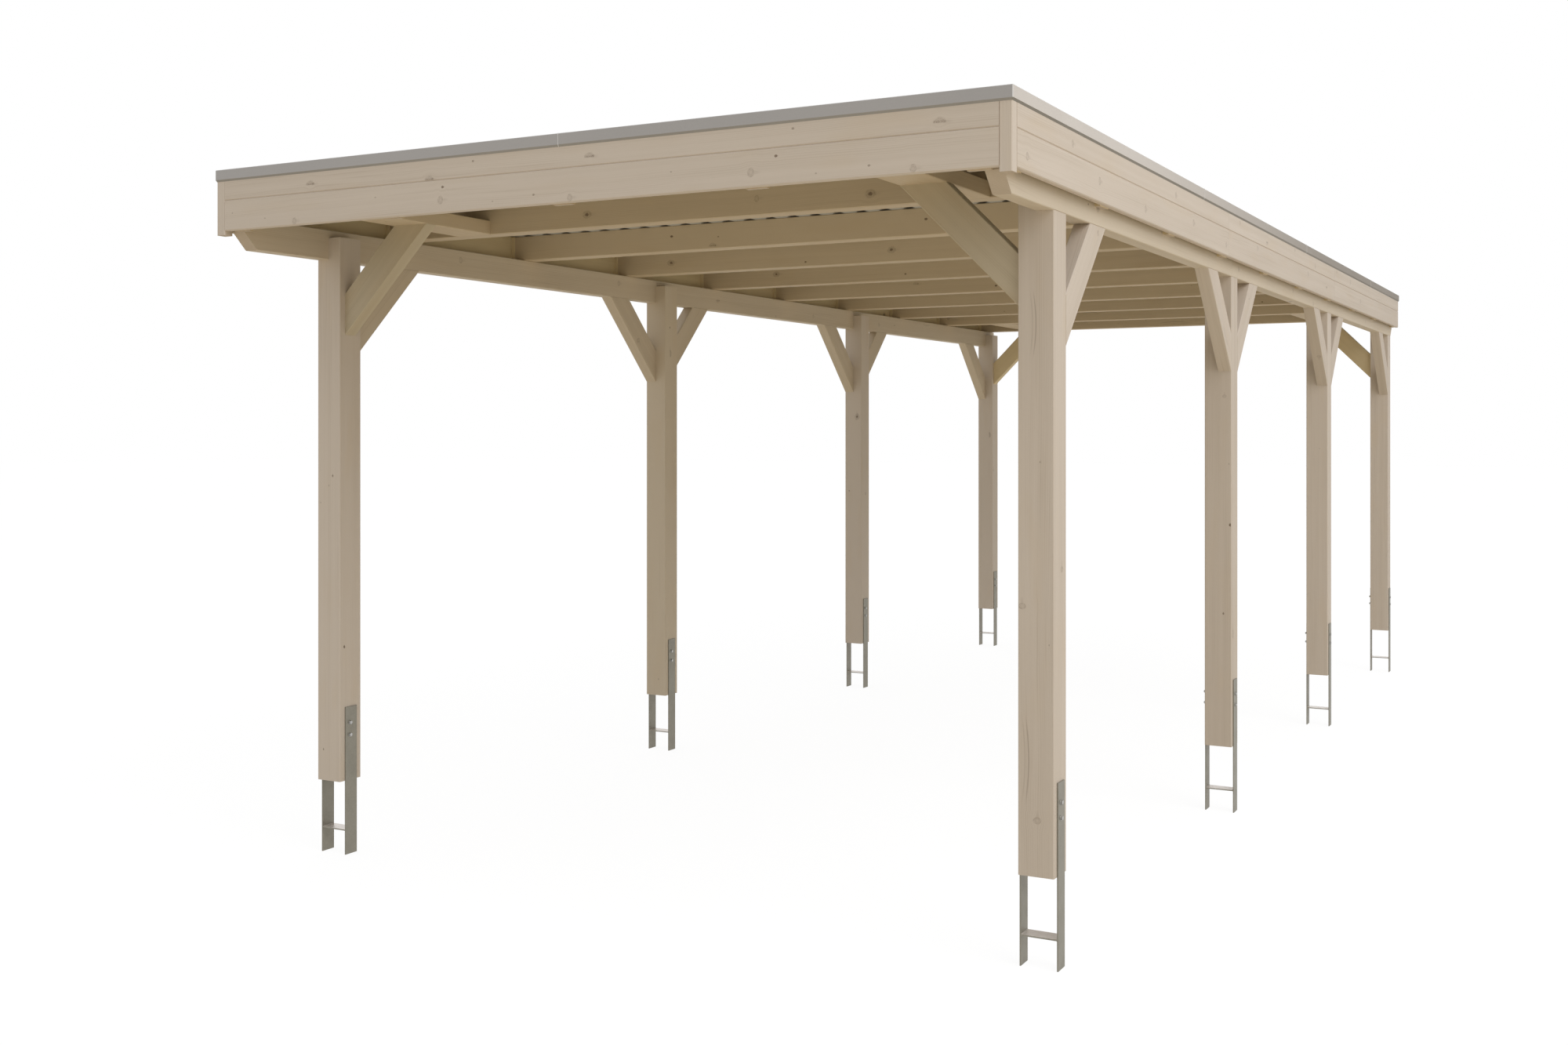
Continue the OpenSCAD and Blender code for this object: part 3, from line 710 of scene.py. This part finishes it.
def newTree(name, values):  # a named input for each value, of the value's own kind
    tree = bpy.data.node_groups.new(name, "GeometryNodeTree")
    kinds = {float: "NodeSocketFloat", int: "NodeSocketInt"}
    tree.interface.new_socket("Geometry", in_out="INPUT", socket_type="NodeSocketGeometry")
    for label, value in values.items():
        kind = kinds.get(type(value), "NodeSocketMaterial")
        tree.interface.new_socket(label, in_out="INPUT", socket_type=kind)
    tree.interface.new_socket("Geometry", in_out="OUTPUT", socket_type="NodeSocketGeometry")
    given = tree.nodes.new("NodeGroupInput").outputs
    return tree, {output.name: NodeValue(tree, output) for output in given if output.name}


def nodeOf(tree, kind, mode=None, **inputs):
    named = {label.replace("_", " "): value for label, value in inputs.items()}
    return addNode(tree, "GeometryNode" + kind, named, **({"mode": mode} if mode else {}))


def joined(tree, *geometries):
    node = tree.nodes.new("GeometryNodeJoinGeometry")
    for geometry in geometries:
        feed(tree, node.inputs[0], geometry)
    return NodeValue(tree, node.outputs[0])


def randomFrom(tree, seed, low, high):
    return addNode(tree, "FunctionNodeRandomValue", {"Seed": seed, 2: low, 3: high}, 1, data_type="FLOAT")


def closeTree(tree, geometry, material):  # instances made real, then the finish
    real = nodeOf(tree, "RealizeInstances", Geometry=geometry)
    finished = nodeOf(tree, "SetMaterial", Geometry=real, Material=material)
    feed(tree, tree.nodes.new("NodeGroupOutput").inputs[0], finished)
    return tree


def ramp(value, start):  # 0 up to start, 1 from start + 1 on
    share = value - start
    share.socket.node.use_clamp = True
    return share


def hexRadius(flats, angle):  # distance from the middle to the side of a hexagon
    turn = (angle + math.pi / 6).math("FLOORED_MODULO", math.pi / 3)
    return flats * 0.5 / (turn - math.pi / 6).math("COSINE")


def turned(tree, steps, rowsFor):  # a closed shape about Z from rows of radius and height
    x, y = partsOf(nodeOf(tree, "InputPosition"))[:2]
    angle = (x + 0.5) * (2 * math.pi)
    rows = rowsFor(angle)
    grid = nodeOf(tree, "MeshGrid", Size_X=1.0, Size_Y=1.0, Vertices_X=steps + 1,
                  Vertices_Y=len(rows))
    level = (y + 0.5) * float(len(rows) - 1)
    radius, height = rows[0]
    for k in range(len(rows) - 1):
        share = ramp(level, float(k))
        radius = share * (rows[k + 1][0] - rows[k][0]) + radius
        height = share * (rows[k + 1][1] - rows[k][1]) + height
    place = vectorOf(tree, radius * angle.math("COSINE"), radius * angle.math("SINE"), height)
    shape = nodeOf(tree, "SetPosition", Geometry=grid, Position=place)
    return nodeOf(tree, "MergeByDistance", Geometry=shape, Distance=meshLimits["mergeTurned"])


def grow(name, build, values, finishes, points=(), edges=(), wall=0.0, replaced=()):
    # runs a tree of nodes on the points and keeps its mesh as a piece
    values = dict(values, Material=materials[finishes[0]])
    start = bpy.data.meshes.new(name)
    start.from_pydata([tuple(p) for p in points], edges, [])
    carrier = bpy.data.objects.new(name + "_carrier", start)
    bpy.context.scene.collection.objects.link(carrier)
    modifier = carrier.modifiers.new("nodes", "NODES")
    modifier.node_group = build(values)
    for item in modifier.node_group.interface.items_tree:
        if item.in_out == "INPUT" and item.name in values:
            modifier[item.identifier] = values[item.name]
    if wall:
        thick = carrier.modifiers.new("wall", "SOLIDIFY")
        thick.thickness = wall
        thick.offset = -1.0
        thick.use_even_offset = True
    made = bpy.data.meshes.new_from_object(carrier.evaluated_get(bpy.context.evaluated_depsgraph_get()))
    carrier.modifiers.clear()
    bpy.data.objects.remove(carrier)
    bpy.data.meshes.remove(start)
    mesh = bmesh.new()
    mesh.from_mesh(made)
    bpy.data.meshes.remove(made)
    bmesh.ops.recalc_face_normals(mesh, faces=mesh.faces)
    for face in mesh.faces:
        face.material_index = 0
    return addPiece(name, mesh, finishes, replaced)


def placeSpun(tree, given, *shapes):  # the shapes on every point, tilted, each with a turn of its own
    spin = randomFrom(tree, given["Seed"], 0.0, 2 * math.pi)
    placed = nodeOf(tree, "InstanceOnPoints", Points=given["Geometry"], Instance=joined(tree, *shapes),
                    Rotation=vectorOf(tree, 0.0, given["Tilt"], 0.0))
    twisted = nodeOf(tree, "RotateInstances", Instances=placed, Rotation=vectorOf(tree, 0.0, 0.0, spin))
    return closeTree(tree, twisted, given["Material"])


# Bolts through the anchors and posts: heads towards +X, nuts on the other bar

bolts = {
    "flats": 0.013, "headHeight": 0.0053, "nutHeight": 0.0065, "washerRadius": 0.0082, "washerHeight": 0.0016,
    "thread": 0.004, "threadOut": 0.0028, "threadIn": 0.001, "heights": (0.535, 0.485), "forward": 0.007,
    "crown": 0.475, "washerEdge": 0.3, "threadRoot": 0.86, "threadTip": 0.8, "threadRows": 6, "turnSeed": 7,
    "headSteps": 36, "washerSteps": 28, "threadSteps": 18,
}
cornerSlope = 0.577  # the cut corners of a hexagon fall at about 30 degrees


def hexRows(flats, low, top, angle, crownShare, underneath=False):  # a hexagon with its top corners cut
    crown = flats * crownShare
    corner = hexRadius(flats, angle)
    drop = (corner - crown) * cornerSlope
    foot = low + drop if underneath else low
    return [(crown, low), (corner, foot), (corner, top - drop), (crown, top), (0.0, top)]


def boltTree(values, isNut):
    tree, given = newTree("nut" if isNut else "bolt head", values)
    flats, washer = given["Across Flats"], given["Washer Height"]
    top = given["Height"] + washer

    def headRows(angle):
        return [(0.0, washer)] + hexRows(flats, washer, top, angle, bolts["crown"], isNut)

    def washerRows(angle):
        outer, edge = given["Washer Radius"], bolts["washerEdge"]
        return [(0.0, 0.0), (outer, 0.0), (outer, washer * (1 - edge)), (outer + washer * -edge, washer),
                (0.0, washer)]

    def threadRows(angle):
        crest, out = given["Thread Radius"], given["Thread Out"]
        root, count = crest * bolts["threadRoot"], bolts["threadRows"]
        rows = [(0.0, top - bolts["threadIn"]), (root, top - bolts["threadIn"])]
        rows += [(crest if k % 2 else root, out * (k / count) + top) for k in range(1, count)]
        return rows + [(crest * bolts["threadTip"], top + out), (0.0, top + out)]

    shapes = [turned(tree, bolts["headSteps"], headRows), turned(tree, bolts["washerSteps"], washerRows)]
    if isNut:
        shapes.append(turned(tree, bolts["threadSteps"], threadRows))
    return placeSpun(tree, given, *shapes)


def postMiddles(row):  # lowest and highest corner of each post, and the middle of its depth
    boxes = [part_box(f"post_{row}_{i}") for i in range(1, 5)]
    return [(low, high, (low.y + high.y) / 2) for low, high in boxes]


for row in ("left", "right"):
    low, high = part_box(f"anchors_{row}")
    for kind, face, height, tilt in (("heads", high.x, bolts["headHeight"], math.pi / 2),
                                     ("nuts", low.x, bolts["nutHeight"], -math.pi / 2)):
        isNut = kind == "nuts"
        places = [(face, middle - bolts["forward"], z) for _, _, middle in postMiddles(row)
                  for z in bolts["heights"]]
        grow(f"anchor_bolt_{kind}_{row}", lambda values: boltTree(values, isNut), {
            "Across Flats": bolts["flats"], "Height": height, "Washer Radius": bolts["washerRadius"],
            "Washer Height": bolts["washerHeight"], "Thread Radius": bolts["thread"],
            "Thread Out": bolts["threadOut"], "Tilt": tilt, "Seed": bolts["turnSeed"] + isNut,
        }, ["bolt"], places)
print("bolts and nuts placed")


# Weld beads along both ends of the anchors' crossbars

welds = {"radius": 0.0028, "step": 0.0028, "short": 0.004, "barHalf": 0.0325, "crossbar": (0.097, 0.102),
         "sizes": (0.86, 1.10), "flat": 0.75, "seed": 3}


def weldTree(values):
    tree, given = newTree("weld bead", values)
    line = nodeOf(tree, "MeshToCurve", Mesh=given["Geometry"])
    points = nodeOf(tree, "ResampleCurve", "LENGTH", Curve=line, Length=given["Step"])
    ripple = nodeOf(tree, "MeshUVSphere", Segments=8, Rings=5, Radius=given["Radius"])
    size = randomFrom(tree, given["Seed"], *welds["sizes"])
    placed = nodeOf(tree, "InstanceOnPoints", Points=points, Instance=ripple,
                    Scale=vectorOf(tree, size, welds["flat"], size))
    return closeTree(tree, placed, given["Material"])


half = welds["barHalf"] - welds["short"]
for row in ("left", "right"):
    points, edges = [], []
    for postLow, postHigh, middle in postMiddles(row):
        for x in (postLow.x, postHigh.x):
            for z in welds["crossbar"]:
                edges.append((len(points), len(points) + 1))
                points += [(x, middle - half, z), (x, middle + half, z)]
    grow(f"anchor_welds_{row}", weldTree, {
        "Radius": welds["radius"], "Step": welds["step"], "Seed": welds["seed"],
    }, ["weld"], points, edges)
print("weld beads laid")


# Ribbed roof sheets, each lapping the one before it by a rib

sheets = {"pitch": 0.110, "crest": 0.032, "flank": 0.014, "height": 0.020, "wall": 0.001, "bend": 0.003,
          "bendSteps": 2, "ribs": 10, "backTilt": -0.2}
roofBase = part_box("rafter_1")[1].z
cover = (sheets["ribs"] - 1) * sheets["pitch"]


def sheetTree(values):  # every rib has four corners, and the sheet one more at each side
    tree, given = newTree("ribbed sheet", values)
    count = given["Ribs"] * 4.0 + 2.0
    line = nodeOf(tree, "MeshLine", Count=count)
    index = nodeOf(tree, "InputIndex")
    corner = index - 1.0
    rib = (corner / 4.0).math("FLOOR")
    side = corner - rib * 4.0 - 1.5
    isUp = abs(side) < 1.0
    reach = (1.0 - isUp) * given["Flank"] + given["Crest"] * 0.5
    x = side.math("SIGN") * reach + (rib * given["Pitch"] + given["First Rib"])
    # the first rib is lifted over the sheet before, the last one ends under the sheet behind
    z = (index < 3.5) * given["Lift"] + isUp * given["Height"]
    last = (index > count - 2.5) * given["Covered"]
    x = last * (given["Flank"] * -0.5) + x
    z = last * (given["Height"] * 0.5) + z
    isStart = index < 0.5
    isEnd = index > count - 1.5
    inner = 1.0 - isStart - isEnd
    x = isEnd * given["Right Edge"] + (isStart * given["Left Edge"] + x * inner)
    z = z * inner + (isStart * given["Lift"] + isEnd * given["Covered"] * (given["Height"] * 0.5))
    place = vectorOf(tree, x, given["Front"], z + given["Base"])
    profile = nodeOf(tree, "SetPosition", Geometry=line, Position=place)
    clean = nodeOf(tree, "MergeByDistance", Geometry=profile, Distance=meshLimits["mergeSheet"])
    curve = nodeOf(tree, "MeshToCurve", Mesh=clean)
    bent = nodeOf(tree, "FilletCurve", "POLY", Curve=curve, Radius=given["Bend"], Limit_Radius=True,
                  Count=sheets["bendSteps"])
    strip = nodeOf(tree, "CurveToMesh", Curve=bent)
    drawn = nodeOf(tree, "ExtrudeMesh", "EDGES", Mesh=strip, Offset_Scale=1.0,
                   Offset=vectorOf(tree, 0.0, given["Length"], 0.0))
    return closeTree(tree, drawn, given["Material"])


for i in range(1, 4):
    low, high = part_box(f"roof_sheet_{i}")
    firstRib = (i - 2.5) * cover
    foot = sheets["crest"] / 2 + sheets["flank"]
    made = grow(f"roof_sheet_{i}_ribbed", sheetTree, {
        "First Rib": firstRib, "Ribs": sheets["ribs"], "Pitch": sheets["pitch"], "Crest": sheets["crest"],
        "Flank": sheets["flank"], "Height": sheets["height"], "Lift": 0.0 if i == 1 else sheets["wall"],
        "Covered": 0.0 if i == 3 else 1.0, "Left Edge": low.x if i == 1 else firstRib - foot,
        "Right Edge": high.x if i == 3 else firstRib + cover + foot - sheets["flank"] / 2, "Front": low.y,
        "Length": high.y - low.y, "Base": roofBase, "Bend": sheets["bend"],
    }, ["sheet", "sheetBack"], wall=sheets["wall"], replaced=[f"roof_sheet_{i}"])
    for polygon in made.polygons:
        polygon.material_index = 1 if polygon.normal.z < sheets["backTilt"] else 0
print("roof sheets folded")


# Sheet screws with sealing washers, in every second pan over each rafter

sheetScrews = {
    "flats": 0.008, "height": 0.0052, "washerRadius": 0.0080, "washerHeight": 0.0022, "washerEdge": 0.4,
    "washerTop": 0.66, "crown": 0.46, "everyPan": 2, "seed": 11, "headSteps": 6, "washerSteps": 12,
}


def screwTree(values):
    tree, given = newTree("sheet screw", values)
    flats, washer = given["Across Flats"], given["Washer Height"]
    top = given["Height"] + washer

    def headRows(angle):
        return [(0.0, washer)] + hexRows(flats, washer, top, angle, sheetScrews["crown"])[1:]

    def washerRows(angle):
        outer = given["Washer Radius"]
        return [(0.0, 0.0), (outer, 0.0), (outer, washer * sheetScrews["washerEdge"]),
                (outer * sheetScrews["washerTop"], washer), (0.0, washer)]

    return placeSpun(tree, given, turned(tree, sheetScrews["headSteps"], headRows),
                     turned(tree, sheetScrews["washerSteps"], washerRows))


places = []
for i in range(1, 11):
    low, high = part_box(f"rafter_{i}")
    for k in range(0, 3 * (sheets["ribs"] - 1), sheetScrews["everyPan"]):
        x = -1.5 * cover + (k + 0.5) * sheets["pitch"]
        places.append((x, (low.y + high.y) / 2, high.z + sheets["wall"]))
grow("roof_sheet_screws", screwTree, {
    "Across Flats": sheetScrews["flats"], "Height": sheetScrews["height"],
    "Washer Radius": sheetScrews["washerRadius"], "Washer Height": sheetScrews["washerHeight"], "Tilt": 0.0,
    "Seed": sheetScrews["seed"],
}, ["bolt"], places)
print("sheet screws set:", len(places))


# Roof edge trim, folded over the boards, its front corners rounded

trim = {
    "proud": 0.005, "hem": 0.0075, "width": 0.050, "inner": 0.020, "wall": 0.002, "round": 0.003,
    "innerRound": 0.002, "corner": 0.0045, "cornerSteps": 5, "bead": 0.0011, "beadSides": 8,
    "halfGap": 0.0005, "near": 0.001, "least": 0.0002, "roundSteps": 4, "innerSteps": 3,
    "fold": ((0.0008, -0.0012), (0.0002, -0.0004), (0.0, 0.0006)),  # soft fold above the hem
}
trimTilts = {"hem": (-0.97, -0.3), "top": (0.25, 0.9), "corner": 0.25, "upright": 0.5}  # of face normals


def between(value, span):
    return span[0] < value < span[1]


def arcOf(steps):  # sine and cosine over a quarter turn
    return [(math.sin(math.pi / 2 * k / steps), math.cos(math.pi / 2 * k / steps)) for k in range(steps + 1)]


def trimSection(bottom, top):  # depth inwards from the outer face, and height, from the lower end of the hem
    proud, hem, wall, width = trim["proud"], trim["hem"], trim["wall"], trim["width"]
    rise = wall * math.hypot(proud, hem) / proud
    low = top - trim["inner"]
    skin = [(proud, bottom)] + [(depth, bottom + hem + up) for depth, up in trim["fold"]]
    skin += [(trim["round"] * (1 - c), top - trim["round"] * (1 - s))
             for s, c in arcOf(trim["roundSteps"])]
    skin += [(width - trim["innerRound"] * (1 - s), top - trim["innerRound"] * (1 - c))
             for s, c in arcOf(trim["innerSteps"])]
    skin.append((width, low))
    back = [(width - wall, low), (width - wall, top - wall), (wall, top - wall)]
    back += [(wall, bottom + rise + (proud - wall) * hem / proud), (proud, bottom + rise)]
    return skin + back, skin


def addRun(mesh, rings):  # one closed solid through all rings
    made = [[mesh.verts.new(point) for point in ring] for ring in rings]
    size = len(made[0])
    for a, b in zip(made, made[1:]):
        for k in range(size):
            mesh.faces.new([a[k], a[(k + 1) % size], b[(k + 1) % size], b[k]])
    mesh.faces.new(made[0])
    mesh.faces.new(list(reversed(made[-1])))


def aroundCorner(outerX, outerY, side, angle):  # place on the rounded front corner, or on its mitre
    def station(depth):
        radius = trim["corner"] - depth
        if radius > trim["least"]:
            x = outerX - trim["corner"] + radius * math.cos(angle)
            y = outerY + trim["corner"] + radius * math.sin(angle)
        else:
            x, y = outerX - depth, outerY + depth
        return side * x, y
    return station


def trimRuns(node):
    low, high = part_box(node)
    isFront = node == "trim_front"
    section, skin = trimSection(low.z, high.z)
    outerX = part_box("trim_right")[1].x
    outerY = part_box("trim_front")[0].y
    copy = mergedCopy(node)
    pieces = []
    for group in islandsOf(copy):
        verts = [v for f in group for v in f.verts]
        pieces.append(spanOf(verts, worldAxes[0]) + spanOf(verts, worldAxes[1]))
    copy.free()
    mesh = bmesh.new()
    beads = []
    for xLow, xHigh, yLow, yHigh in sorted(pieces):
        side = 1 if xLow + xHigh > 0 else -1
        start = -math.pi / 2 if isFront else -math.pi / 4
        angles = [start + math.pi / 4 * k / trim["cornerSteps"] for k in range(trim["cornerSteps"] + 1)]
        corner = [aroundCorner(outerX, outerY, side, angle) for angle in angles]
        if isFront:
            near = min(abs(xLow), abs(xHigh))
            stations = [lambda d: (side * near, outerY + d)] + corner
        else:
            atCorner = yLow < outerY + trim["near"]
            stations = corner if atCorner else [lambda d: (side * (outerX - d), yLow)]
            stations.append(lambda d: (side * (outerX - d), yHigh))
            if not atCorner:
                beads.append([(side * (outerX - d), yLow - trim["halfGap"], z) for d, z in skin])
        addRun(mesh, [[(*station(depth), z) for depth, z in section] for station in stations])
    if isFront:
        beads.append([(0.0, outerY + d, z) for d, z in skin])
    bmesh.ops.remove_doubles(mesh, verts=mesh.verts, dist=meshLimits["mergeTrim"])
    bmesh.ops.recalc_face_normals(mesh, faces=mesh.faces)
    finishes = ["trim", "trimHemFront"] if isFront else ["trimSidePaintedLight", "trimHem"]
    # face; hem painted darker as painted shade; rounded top edge and front corners painted lighter as painted
    # highlights
    made = addPiece(node + "_folded", mesh, finishes + ["trimJointAndHighlight"], [node])
    for polygon in made.polygons:
        normal = polygon.normal
        isHem = between(normal.z, trimTilts["hem"]) and polygon.center.z < low.z + trim["hem"]
        onTop = between(normal.z, trimTilts["top"]) and polygon.center.z > high.z - trim["round"]
        isTurned = min(abs(normal.x), abs(normal.y)) > trimTilts["corner"]
        onCorner = isTurned and abs(normal.z) < trimTilts["upright"]
        polygon.material_index = 1 if isHem else 2 if onTop or onCorner else 0
    return beads


def beadTree(values):
    tree, given = newTree("joint bead", values)
    line = nodeOf(tree, "MeshToCurve", Mesh=given["Geometry"])
    ring = nodeOf(tree, "CurvePrimitiveCircle", Resolution=given["Sides"], Radius=given["Radius"])
    tube = nodeOf(tree, "CurveToMesh", Curve=line, Profile_Curve=ring, Fill_Caps=True)
    return closeTree(tree, tube, given["Material"])


for node in ("trim_left", "trim_right", "trim_front"):
    points, edges = [], []
    for bead in trimRuns(node):
        edges += [(len(points) + k, len(points) + k + 1) for k in range(len(bead) - 1)]
        points += bead
    grow(node + "_joints", beadTree, {"Radius": trim["bead"], "Sides": trim["beadSides"]},
         ["trimJointAndHighlight"], points, edges)


# Angles along both sides of the roof, from the edge trim down to the sheets

edgeAngle = {"wall": 0.001, "foot": 0.026, "bend": 0.0025, "lap": 0.008, "clear": 0.004, "bendSteps": 4}


def dressEdgeAngle(row):
    side = 1 if row == "right" else -1
    low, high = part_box(f"trim_{row}")
    wall, bend = edgeAngle["wall"], edgeAngle["bend"]
    back = max(abs(low.x), abs(high.x)) - trim["width"]  # inner side of the trim's inner edge
    base = roofBase + sheets["wall"]
    top = high.z - trim["inner"] + edgeAngle["lap"]

    def skin(inset):
        radius = bend - inset
        bent = [(back - bend + radius * s, base + bend - radius * c)
                for s, c in arcOf(edgeAngle["bendSteps"])]
        return [(back - edgeAngle["foot"], base + inset)] + bent + [(back - inset, top)]

    profile = skin(0.0) + skin(wall)[::-1]
    sheetLow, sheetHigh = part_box("roof_sheet_1")
    mesh = bmesh.new()
    ends = (sheetLow.y + edgeAngle["clear"], sheetHigh.y)
    addRun(mesh, [[(side * x, y, z) for x, z in profile] for y in ends])
    bmesh.ops.recalc_face_normals(mesh, faces=mesh.faces)
    addPiece(f"roof_edge_angle_{row}", mesh, ["sheet"])


for row in ("left", "right"):
    dressEdgeAngle(row)
print("edge trim folded")


# Camera, light, floor

camera = {"place": (3.2293, -8.4254, 1.7088), "turn": 28.298, "lens": 36.986, "shiftY": -0.0563,
          "sensor": 36.0, "far": 300.0}
lamps = {"world": 0.62, "power": 665.0, "place": (10.5, -5.7, 10.3), "aim": (1.6, -2.0, 2.0), "across": 11.0}
floorLook = {"size": 160.0, "bounce": (0.85, 0.76, 0.59), "seen": 0.928, "shade": (0.12, 0.12, 0.12)}
white = (1, 1, 1)

cameraData = bpy.data.cameras.new("camera")
cameraData.sensor_width = camera["sensor"]
cameraData.lens = camera["lens"]
cameraData.shift_y = camera["shiftY"]
cameraData.clip_end = camera["far"]
cameraObject = bpy.data.objects.new("camera", cameraData)
cameraObject.location = camera["place"]
cameraObject.rotation_euler = (math.radians(90), 0, math.radians(camera["turn"]))
bpy.context.scene.collection.objects.link(cameraObject)
bpy.context.scene.camera = cameraObject

lampData = bpy.data.lights.new("soft_lamp", "AREA")
lampData.shape = "DISK"
lampData.size = lamps["across"]
lampData.energy = lamps["power"]
lampObject = bpy.data.objects.new("soft_lamp", lampData)
lampObject.location = lamps["place"]
lampObject.visible_camera = False
lampAxis = Vector(lamps["place"]) - Vector(lamps["aim"])
lampObject.rotation_euler = lampAxis.to_track_quat("Z", "Y").to_euler()
bpy.context.scene.collection.objects.link(lampObject)


def showSeen(tree, kind, lighting, seen):  # one shader for the light, one for camera, gloss and glass
    path = tree.nodes.new("ShaderNodeLightPath")
    rays = [NodeValue(tree, path.outputs[f"Is {ray} Ray"]) for ray in ("Camera", "Glossy", "Transmission")]
    direct = rays[0].math("MAXIMUM", rays[1]).math("MAXIMUM", rays[2])
    addOutput(tree, kind, addNode(tree, "ShaderNodeMixShader", {0: direct, 1: lighting, 2: seen}))


world = bpy.data.worlds.new("studio")
bpy.context.scene.world = world
tree = emptyTree(world)
soft, seen = [addNode(tree, "ShaderNodeBackground", {"Color": white, "Strength": strength})
              for strength in (lamps["world"], 1.0)]
showSeen(tree, "ShaderNodeOutputWorld", soft, seen)

bpy.ops.mesh.primitive_plane_add(size=floorLook["size"], location=(0, 0, cadLow.z))
floor = bpy.context.object
floor.name = "studio_floor"
floorMaterial = bpy.data.materials.new("studio_floor")
tree = emptyTree(floorMaterial)
plain, shade = [addNode(tree, "ShaderNodeBsdfDiffuse", {"Color": floorLook[name]})
                for name in ("bounce", "shade")]
seen = addNode(tree, "ShaderNodeEmission", {"Color": white, "Strength": floorLook["seen"]})
shaded = addNode(tree, "ShaderNodeAddShader", {0: seen, 1: shade})  # white, with a faint shadow
showSeen(tree, "ShaderNodeOutputMaterial", plain, shaded)
floor.data.materials.append(floorMaterial)
floor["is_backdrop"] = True
bpy.context.scene.view_settings.view_transform = "Standard"
print("camera, light and floor set")

low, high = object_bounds()
